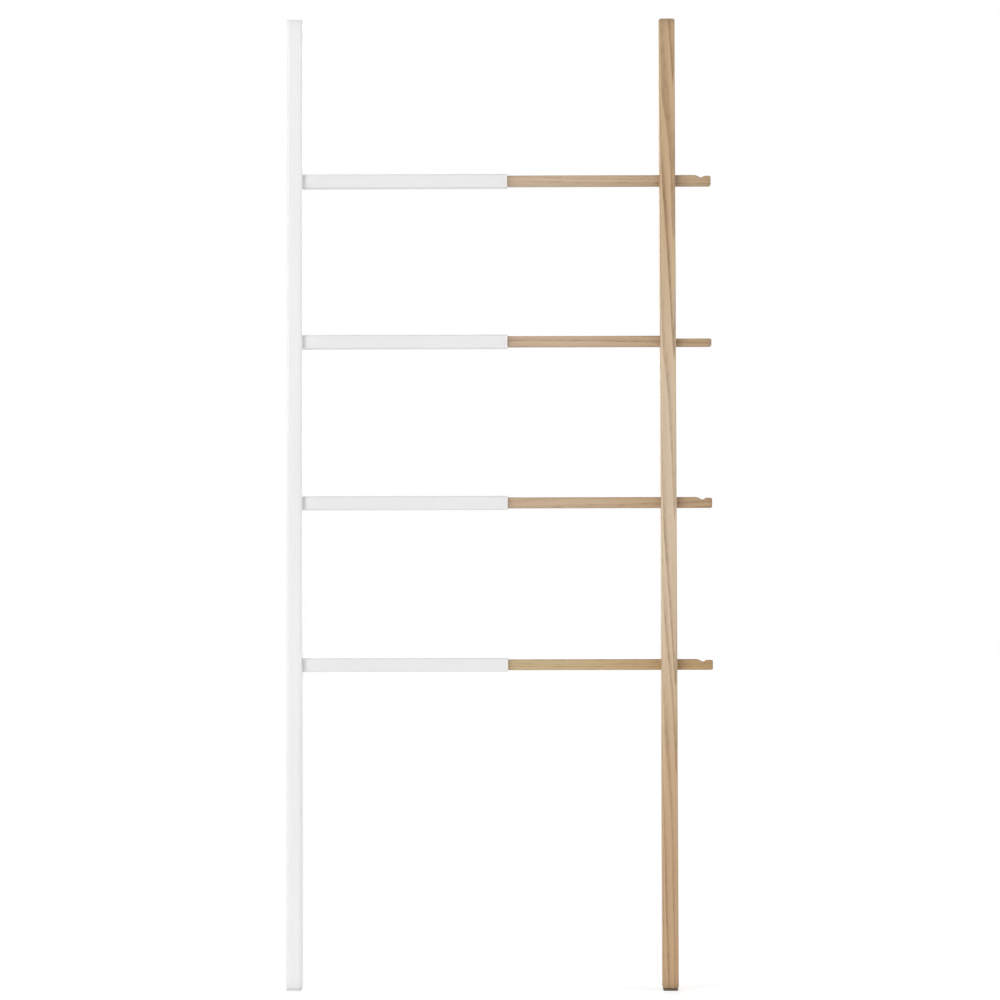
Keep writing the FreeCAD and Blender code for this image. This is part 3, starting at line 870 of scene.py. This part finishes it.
def ash_finish(name, middle, along_x, grain, figure, paleness, darkenings):
    """Clear-lacquered ash, cut from a log.

    Grain tells where in the log, as said at RAIL_GRAIN, and figure how strong the rings show. Fibres,
    streaks and pores are noise drawn out along the wood. Paleness is how much lighter the wood is, and the
    middle and half length of the stretch where it is. Darkenings are places along the wood where it is
    darker: how far along, how wide, and how much darker. At a peg's joint with the rail and at the sleeve's
    mouth that is painted shade; towards the ends and a peg's tip the wood is simply darker.
    """
    pith, lean, log_place, tint = grain
    finish = new_finish(name)
    if along_x:
        board = finish.mapped(Rotation=(0, -QUARTER_TURN, 0), Location=(middle[2], -middle[1], -middle[0]))
    else:
        board = finish.mapped(Location=tuple(-middle))
    in_log = finish.node("ShaderNodeVectorMath", {"operation": "ADD"}, {0: board, 1: (0, 0, log_place)})
    band, boldness, tone = ash_rings(finish, board, in_log, pith, lean, log_place)
    fibre = finish.noise(in_log, ASH_FIBRE_DENSITY, 3.0, 0.6)
    streak = finish.noise(in_log, ASH_STREAK_DENSITY)
    pores = finish.ramp(finish.noise(in_log, ASH_PORE_DENSITY, 1.0), ASH_PORES) * band
    rings = (band * boldness - ASH_MEAN_RING) * figure + ASH_MEAN_RING
    dark = rings + finish.swing(streak, ASH_STREAK_SWING) + finish.swing(fibre, ASH_FIBRE_SWING)
    wood = finish.mix(dark, ASH_LATE, ASH_EARLY)
    wood = finish.mix((tone - ASH_WARM_START) * ASH_WARM_GAIN, wood, ASH_WARM)
    along = finish.parts(board)[2]
    pale_share, pale_middle, pale_half = paleness
    pale = pale_share / (((along - pale_middle) / pale_half) ** 4 + 1)
    wood = finish.mix(pale * (1 - dark * ASH_GRAIN_KEPT), wood, ASH_PALE)
    end_grain = finish.node("ShaderNodeAttribute", {"attribute_name": "end_grain"}, output="Fac")
    light = (1 - pores * ASH_PORE_SHADE) * (1 - end_grain * ASH_END_SHADE)
    return finish.done(
        Base_Color=finish.shaded(finish.tinted(wood, tint), finish.darkened(light, along, darkenings)),
        Roughness=pores * 0.2 + fibre * 0.1 + ASH_ROUGHNESS,
        Specular_IOR_Level=0.4,
        Normal=finish.bump(fibre * 0.25 - pores - band * 0.3, ASH_RELIEF, 0.5),
    )


# White paint. Clouds are their density, the level from which they show, and their gain
PAINT_WHITE = colour(236, 236, 236)
PAINT_SHADE = colour(231, 231, 231)
PAINT_FIBRE_DENSITY = (420, 420, 6)
PAINT_GROOVE_DENSITY = (1100, 1100, 16)
PAINT_GROOVES = ((0.62, 0.0), (0.7, 1.0))
PAINT_ROLLER_DENSITY = 750.0
PAINT_CLOUDS = ((30, 30, 4), 0.3, 1.5)
PAINT_ROUGHNESS = 0.34
PAINT_RELIEF = 0.1 * MM


def painted_wood_finish(middle, darkenings):
    """Satin white paint on open-grained wood.

    Two coats leave a roller's stipple and a faint fibre, and the longest pores still show as fine grooves,
    whose colour is a little darker as painted shade.
    Darkenings are the places along the wood where the paint is greyer, as in ash_finish.
    """
    finish = new_finish("white_paint")
    place = finish.mapped(Location=tuple(-middle))
    fibre = finish.noise(place, PAINT_FIBRE_DENSITY, 3.0)
    grooves = finish.ramp(finish.noise(place, PAINT_GROOVE_DENSITY, 1.0), PAINT_GROOVES)
    roller = finish.noise(place, PAINT_ROLLER_DENSITY)
    shade = finish.clouds(place, *PAINT_CLOUDS) + finish.swing(fibre, 0.4)
    # Painted shade: the grooves are six percent darker in colour
    light = finish.darkened(1 - grooves * 0.06, finish.parts(place)[2], darkenings)
    return finish.done(
        Base_Color=finish.shaded(finish.mix(shade, PAINT_WHITE, PAINT_SHADE), light),
        Roughness=roller * 0.16 + PAINT_ROUGHNESS,
        Specular_IOR_Level=0.45,
        Normal=finish.bump(roller * 0.4 + fibre * 0.6 - grooves, PAINT_RELIEF, 0.6),
    )


# White powder coat
COAT_WHITE = colour(231, 231, 231)
COAT_SHADE = colour(226, 226, 226)
COAT_RIPPLE_DENSITY = 520.0
COAT_GRIT_DENSITY = 2600.0
COAT_CLOUDS = (14.0, 0.3, 1.6)
COAT_ROUGHNESS = 0.33
COAT_RELIEF = 0.09 * MM


def coated_steel_finish():
    """Satin powder coat: the fine rounded ripple that the powder leaves as it flows."""
    finish = new_finish("white_powder_coat")
    place = finish.mapped()
    ripple = finish.noise(place, COAT_RIPPLE_DENSITY, 1.0)
    grit = finish.noise(place, COAT_GRIT_DENSITY, 1.0)
    shade = finish.clouds(place, *COAT_CLOUDS) + finish.swing(grit, 0.3)
    return finish.done(
        Base_Color=finish.mix(shade, COAT_WHITE, COAT_SHADE),
        Roughness=ripple * 0.14 + COAT_ROUGHNESS,
        Specular_IOR_Level=0.5,
        Normal=finish.bump(ripple + grit * 0.2, COAT_RELIEF, 0.6),
    )


# Plastic and rubber: pale and shaded colour, density of the grain, and roughness
MOULDED_LOOKS = {
    "collar_plastic": (colour(231, 230, 228), colour(225, 224, 222), 1800.0, 0.42),
    "glide_nylon": (colour(222, 220, 210), colour(206, 203, 192), 1200.0, 0.4),
    "pale_rubber": (colour(220, 220, 219), colour(210, 210, 209), 1500.0, 0.62),
    "brown_rubber": (colour(102, 89, 76), colour(85, 74, 63), 1500.0, 0.62),
}
MOULDED_CLOUDS = (90.0, 0.25, 1.4)
MOULDED_RELIEF = 0.05 * MM


def moulded_finish(name):
    """Moulded plastic or rubber: an even spark-eroded grain and slight clouds of colour."""
    pale, dark, grain_density, roughness = MOULDED_LOOKS[name]
    finish = new_finish(name)
    place = finish.mapped()
    grain = finish.noise(place, grain_density)
    shade = finish.clouds(place, *MOULDED_CLOUDS) + finish.swing(grain, 0.5)
    return finish.done(
        Base_Color=finish.mix(shade, pale, dark),
        Roughness=grain * 0.18 + roughness,
        Specular_IOR_Level=0.4,
        Normal=finish.bump(grain, MOULDED_RELIEF, 0.5),
    )


# Zinc plating
ZINC_PALE = colour(214, 216, 218)
ZINC_SHADE = colour(184, 187, 190)
ZINC_CRYSTAL_DENSITY = 900.0
ZINC_CLOUDS = (160.0, 0.2, 1.3)
ZINC_ROUGHNESS = 0.2
ZINC_RELIEF = 0.02 * MM


def plated_steel_finish():
    """Bright zinc plating: a soft lustre with clouded crystals."""
    finish = new_finish("zinc_plating")
    place = finish.mapped()
    crystal = finish.noise(place, ZINC_CRYSTAL_DENSITY, 3.0, 0.7)
    return finish.done(
        Base_Color=finish.mix(finish.clouds(place, *ZINC_CLOUDS), ZINC_PALE, ZINC_SHADE),
        Metallic=1.0,
        Roughness=crystal * 0.22 + ZINC_ROUGHNESS,
        Normal=finish.bump(crystal, ZINC_RELIEF, 0.3),
    )


# Pieces

# Grain of each board: place of the pith across and behind the board's middle, the board's lean to it on the
# way along, how far along the log it was cut, and the tint of that log's wood
RAIL_GRAIN = ((-20 * MM, 55 * MM), (0.0, 0.0145), 9.4, WHITE)
BAR_GRAINS = {
    1: ((-34 * MM, 30 * MM), (0.004, -0.012), 5.3, (0.98, 1.0, 1.05, 1.0)),
    2: ((26 * MM, 42 * MM), (-0.006, 0.010), 8.9, (0.96, 0.96, 1.0, 1.0)),
    3: ((-18 * MM, 48 * MM), (0.008, 0.014), 12.7, (0.96, 0.94, 0.96, 1.0)),
    4: ((40 * MM, 22 * MM), (0.003, -0.016), 17.2, (0.98, 0.98, 0.85, 1.0)),
}
RAIL_FIGURE = 1.15
BAR_FIGURE = 0.6

# Paleness: how much, the middle of the stretch from the board's middle, and its half length
RAIL_PALENESS = (0.55, 0.0, 0.3)
BAR_PALENESS = (0.36, -0.10, 0.16)

# Darkening along the wood: how wide, and how much darker. At a peg's joint with the rail and at the
# sleeve's mouth it is painted shade; towards the ends and a peg's tip the surface is simply darker
ASH_END_DARKENING = (9 * MM, 0.24)
PAINT_END_DARKENING = (7 * MM, 0.1)
# Painted shade: the ash rail's shadow on each peg, where the peg leaves the rail
PEG_JOINT_PAINTED_SHADE = (12 * MM, 0.22)
PEG_TIP_DARKENING = (8 * MM, 0.14)
# Painted shadow: the collar lip's shadow on each bar, just outside the sleeve's mouth
MOUTH_PAINTED_SHADOW = (8 * MM, 0.17)

RUBBERS = {"left": "pale_rubber", "right": "brown_rubber"}
PADS = {
    "foot": (DOWNWARDS, FOOT_PAD_ROUND, FOOT_PAD_EDGE),
    "wall": (BACKWARDS, WALL_PAD_ROUND, WALL_PAD_EDGE),
}


def end_darkenings(node, darkening):
    """The same darkening at both ends of a rail, counted from its middle."""
    low, high = box_of(node)
    half = (high - low)[2] / 2
    return [(end, *darkening) for end in (-half, half)]


def bar_finish(rung):
    """Ash of a bar, darker at its peg's tip, with painted shade at the peg's joint with the rail and at the
    sleeve's mouth.
    """
    middle = middle_of(f"rung_bar_{rung}")
    darkened_at = {
        "right_rail": PEG_JOINT_PAINTED_SHADE,
        f"rung_bar_{rung}": PEG_TIP_DARKENING,
        f"sleeve_collar_{rung}": MOUTH_PAINTED_SHADOW,
    }
    darkenings = [(box_of(node)[1][0] - middle[0], *darkening) for node, darkening in darkened_at.items()]
    return ash_finish(f"ash_bar_{rung}", middle, True, BAR_GRAINS[rung], BAR_FIGURE, BAR_PALENESS, darkenings)


def dress(piece, body, slot, *nodes):
    """A piece rides on its body and stands for its nodes. Its slot is not used."""
    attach(piece, body)
    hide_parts(*nodes)


def finish_node(node, finish):
    """A node of the frame that keeps its own mesh takes a finish."""
    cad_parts[node].data.materials.clear()
    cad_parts[node].data.materials.append(finish)


powder_coat = coated_steel_finish()
zinc = plated_steel_finish()
moulded = {name: moulded_finish(name) for name in MOULDED_LOOKS}

white_paint = painted_wood_finish(middle_of("left_rail"), end_darkenings("left_rail", PAINT_END_DARKENING))
rail = new_piece("painted_rail", painted_rail_grids(), white_paint)
dress(rail, "left_half", "white_painted_wood", "left_rail")

rail_darkenings = end_darkenings("right_rail", ASH_END_DARKENING)
rail_looks = (RAIL_GRAIN, RAIL_FIGURE, RAIL_PALENESS, rail_darkenings)
rail_ash = ash_finish("ash_rail", middle_of("right_rail"), False, *rail_looks)
rail = new_piece("ash_rail", ash_rail_grids(), rail_ash)
mark_end_grain(rail, 2)
dress(rail, "right_half", "ash_wood", "right_rail")

for rung in RUNGS:
    bar = new_piece(f"ash_bar_{rung}", bar_grids(rung), bar_finish(rung))
    mark_end_grain(bar, 0)
    dress(bar, "right_half", "ash_wood", f"rung_bar_{rung}")
    sleeve = new_piece(f"coated_sleeve_{rung}", sleeve_grids(rung), powder_coat)
    dress(sleeve, "left_half", "white_coated_steel", f"rung_sleeve_{rung}")
    collar = new_piece(f"mouth_collar_{rung}", collar_grids(rung), moulded["collar_plastic"])
    dress(collar, "left_half", "white_plastic", f"sleeve_collar_{rung}")
    finish_node(f"sleeve_nut_{rung}", zinc)
    finish_node(f"bar_glide_{rung}", moulded["glide_nylon"])

finish_node("glide_screws", zinc)
bolts = new_piece("button_bolts", bolt_grids(), zinc)
dress(bolts, "left_half", "plated_steel", "sleeve_bolts")
screws = new_piece("countersunk_screws", screw_grids(), zinc)
dress(screws, "right_half", "plated_steel", "bar_screws")

for side, rubber in RUBBERS.items():
    for place, form in PADS.items():
        node = f"{side}_{place}_pad"
        pad = new_piece(f"{side}_{place}_rubber", pad_grids(node, *form), moulded[rubber])
        dress(pad, f"{side}_half", rubber, node)

# Stage

AMBIENT = 0.32
FLOOR_REACH = 200.0
FLOOR_WHITE = 0.75
FLOOR_GLOW = 0.42
FLOOR_LIFT = 0.14

# Lamps: the way the light travels, its strength, and the width of its patch of sky in degrees
LAMPS = {
    "key": ((0.75, 0.66, -0.06), 2.4, 40),
    "fill": ((-0.92, 0.4, -0.03), 1.9, 75),
    "back": ((0.1, -1.0, -0.12), 2.0, 60),
}

# Camera, worked out from the rails' and rungs' edges in the photograph. Its angles are in degrees
CAMERA_PLACE = (0.0442, -5.0, 0.5475)
CAMERA_YAW = 0.495
CAMERA_PITCH = 2.499
CAMERA_ROLL = -0.115
FOCAL_PIXELS = 3183.0
FRAME_PIXELS = 1000
SENSOR_WIDTH = 36.0
SIGHT_END = 100.0


def white_world():
    """White to the camera and in reflections, and an even soft light on everything else."""
    world = bpy.data.worlds.new("studio")
    sky = Finish(world)
    camera, glossy, through = [sky.node("ShaderNodeLightPath", output=f"Is {kind} Ray")
                               for kind in ("Camera", "Glossy", "Transmission")]
    seen = camera.math("MAXIMUM", camera, glossy.math("MAXIMUM", glossy, through))
    level = sky.node("ShaderNodeMapRange", None, {"Value": seen, "To Min": AMBIENT, "To Max": 1.0})
    background = sky.node("ShaderNodeBackground", None, {"Color": WHITE, "Strength": level})
    sky.node("ShaderNodeOutputWorld", None, {"Surface": background})
    bpy.context.scene.world = world


def white_floor():
    """Wide pale floor. What the camera sees of it is lifted to white, and keeps the ladder's shadow."""
    finish = new_finish("pale_floor")
    floor_colour = (FLOOR_WHITE, FLOOR_WHITE, FLOOR_WHITE, 1.0)
    diffuse = finish.node("ShaderNodeBsdfDiffuse", None, {"Color": floor_colour})
    camera_ray = finish.node("ShaderNodeLightPath", output="Is Camera Ray")
    lift = finish.node("ShaderNodeEmission", None, {"Strength": camera_ray * FLOOR_LIFT + FLOOR_GLOW})
    both = finish.node("ShaderNodeAddShader", None, {0: diffuse, 1: lift})
    finish.node("ShaderNodeOutputMaterial", None, {"Surface": both})
    mesh = bpy.data.meshes.new("floor")
    corners = [(x * FLOOR_REACH, y * FLOOR_REACH, 0) for x, y in ((-1, -1), (1, -1), (1, 1), (-1, 1))]
    mesh.from_pydata(corners, [], [(0, 1, 2, 3)])
    mesh.materials.append(finish.owner)
    floor = bpy.data.objects.new("floor", mesh)
    bpy.context.scene.collection.objects.link(floor)


def soft_sun(name, towards, strength, spread):
    """Even light that travels in a direction, from a patch of sky this many degrees wide."""
    sun = bpy.data.lights.new(name, "SUN")
    sun.energy = strength
    sun.angle = math.radians(spread)
    lamp = bpy.data.objects.new(name, sun)
    lamp.rotation_euler = Vector(towards).to_track_quat("-Z", "Y").to_euler()
    bpy.context.scene.collection.objects.link(lamp)


def photo_camera():
    """Camera that looks along +Y from the photograph's place, with a focal length given in pixels."""
    lens = bpy.data.cameras.new("camera")
    lens.sensor_width = SENSOR_WIDTH
    lens.lens = FOCAL_PIXELS / FRAME_PIXELS * SENSOR_WIDTH
    lens.clip_end = SIGHT_END
    camera = bpy.data.objects.new("camera", lens)
    turn = Euler((math.radians(90 + CAMERA_PITCH), 0, math.radians(CAMERA_YAW))).to_matrix()
    turn = turn @ Matrix.Rotation(math.radians(CAMERA_ROLL), 3, "Z")
    camera.matrix_world = Matrix.Translation(CAMERA_PLACE) @ turn.to_4x4()
    bpy.context.scene.collection.objects.link(camera)
    bpy.context.scene.camera = camera


white_world()
white_floor()
for name, lamp in LAMPS.items():
    soft_sun(name, *lamp)
photo_camera()
bpy.context.scene.view_settings.view_transform = "Standard"
